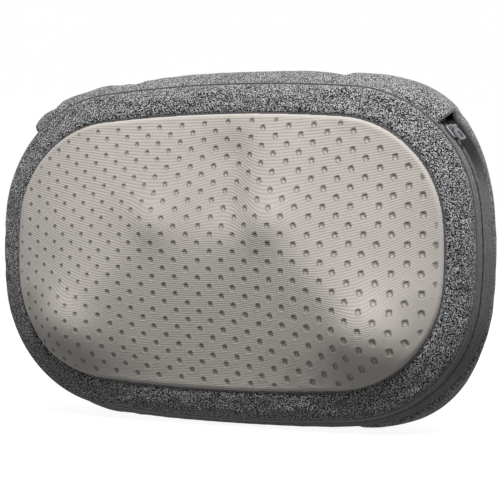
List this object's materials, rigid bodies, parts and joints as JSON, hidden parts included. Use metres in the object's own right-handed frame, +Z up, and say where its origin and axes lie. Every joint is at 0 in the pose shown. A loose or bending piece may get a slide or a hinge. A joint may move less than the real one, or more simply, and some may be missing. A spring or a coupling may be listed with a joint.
{
  "type": "shiatsu neck massager",
  "caption": "Pillow-shaped kneading massager: counter-rotating pairs of heads under a perforated mesh panel, in a zipped heather cushion cover.",
  "frame": {"origin": "middle of the flat resting face under the cushion", "axes": "+Z up, the mesh front faces -Y, +X to the right as seen from the front"},
  "size_m": [0.333, 0.0925, 0.2205],
  "materials": {
    "mesh_knit": "perforated spacer knit",
    "heather_knit": "heather knit",
    "zip_tape": "ribbed tape",
    "zip_coil": "nylon coil",
    "zip_metal": "dark painted",
    "strap_webbing": "elastic webbing",
    "foam": "soft foam",
    "housing_plastic": "moulded",
    "carrier_plastic": "moulded",
    "head_plastic": "polished",
    "gear_plastic": "acetal",
    "bronze": "sintered bronze",
    "steel": "zinc plated",
    "magnet": "sintered ferrite",
    "rotor_copper": "wound copper",
    "board_green": "solder mask",
    "black_plastic": "satin",
    "button_rubber": "soft touch"
  },
  "bodies": {
    "massager": {"board_components": "black_plastic", "board_posts": "housing_plastic", "board_rests": "housing_plastic", "button_switch": "black_plastic", "carrier_bush_left": "bronze", "carrier_bush_right": "bronze", "circuit_board": "board_green", "control_board": "board_green", "control_plate": "black_plastic", "control_pod": "housing_plastic", "dc_inlet": "black_plastic", "foam_frame": "foam", "front_cover": "heather_knit", "front_housing": "housing_plastic", "gear_pin_left": "steel", "gear_pin_right": "steel", "head_pad": "foam", "headrest_strap": "strap_webbing", "housing_screws": "steel", "inlet_pin": "steel", "mesh_panel": "mesh_knit", "motor_bracket": "steel", "motor_can": "steel", "motor_end_cap": "black_plastic", "motor_magnets": "magnet", "motor_screws": "steel", "rear_cover": "heather_knit", "rear_housing": "housing_plastic", "rear_padding": "foam", "shaft_bearing_left": "bronze", "shaft_bearing_right": "bronze", "strap_tabs": "strap_webbing", "top_gusset": "heather_knit", "worm_bearing": "bronze", "zip_coil": "zip_coil", "zip_tape_front": "zip_tape", "zip_tape_rear": "zip_tape"},
    "carrier_left": {"carrier_left": "carrier_plastic", "carrier_shaft_left": "steel", "carrier_gear_left": "gear_plastic", "massage_head_upper_left": "head_plastic", "massage_head_lower_left": "head_plastic", "head_screws_left": "steel"},
    "carrier_right": {"carrier_right": "carrier_plastic", "carrier_shaft_right": "steel", "carrier_gear_right": "gear_plastic", "massage_head_upper_right": "head_plastic", "massage_head_lower_right": "head_plastic", "head_screws_right": "steel"},
    "reduction_left": {"reduction_gear_left": "gear_plastic"},
    "reduction_right": {"reduction_gear_right": "gear_plastic"},
    "worm_drive": {"worm": "gear_plastic", "motor_shaft": "steel", "motor_rotor": "rotor_copper"},
    "power_button": {"power_button": "button_rubber"},
    "zip_slider": {"zip_slider": "zip_metal"},
    "zip_pull": {"zip_pull": "zip_metal"}
  },
  "joints": [
    {"name": "carrier_left_spin", "type": "hinge", "parent": "massager", "child": "carrier_left", "pos_m": [-0.0675, 0, 0.095], "axis": [0, 1, 0], "continuous": true},
    {"name": "carrier_right_spin", "type": "hinge", "parent": "massager", "child": "carrier_right", "pos_m": [0.0675, 0, 0.095], "axis": [0, 1, 0], "continuous": true},
    {"name": "reduction_left_spin", "type": "hinge", "parent": "massager", "child": "reduction_left", "pos_m": [-0.02375, 0, 0.095], "axis": [0, 1, 0], "continuous": true},
    {"name": "reduction_right_spin", "type": "hinge", "parent": "massager", "child": "reduction_right", "pos_m": [0.02375, 0, 0.095], "axis": [0, 1, 0], "continuous": true},
    {"name": "worm_spin", "type": "hinge", "parent": "massager", "child": "worm_drive", "pos_m": [0, 0.013, 0.095], "axis": [0, 0, 1], "continuous": true},
    {"name": "power_button_press", "type": "slide", "parent": "massager", "child": "power_button", "axis": [0.9003, -0.4352, 0], "range_m": [0, 0.0012], "stiffness_N_per_m": 900, "springref_m": -0.0006},
    {"name": "zip_slider_run", "type": "hinge", "parent": "massager", "child": "zip_slider", "pos_m": [0.07694, 0, 0.12837], "axis": [0, 1, 0], "range_deg": [0, 22]},
    {"name": "zip_pull_swing", "type": "hinge", "parent": "zip_slider", "child": "zip_pull", "pos_m": [0.14407, -0.01282, 0.18467], "axis": [0.2516, 0.9462, 0.2037], "range_deg": [-150, 0]}
  ],
  "couplings": [
    {"joint": "carrier_right_spin", "follows": "carrier_left_spin", "ratio": -1},
    {"joint": "reduction_left_spin", "follows": "carrier_left_spin", "ratio": -4},
    {"joint": "reduction_right_spin", "follows": "carrier_left_spin", "ratio": 4},
    {"joint": "worm_spin", "follows": "carrier_left_spin", "ratio": -60}
  ]
}
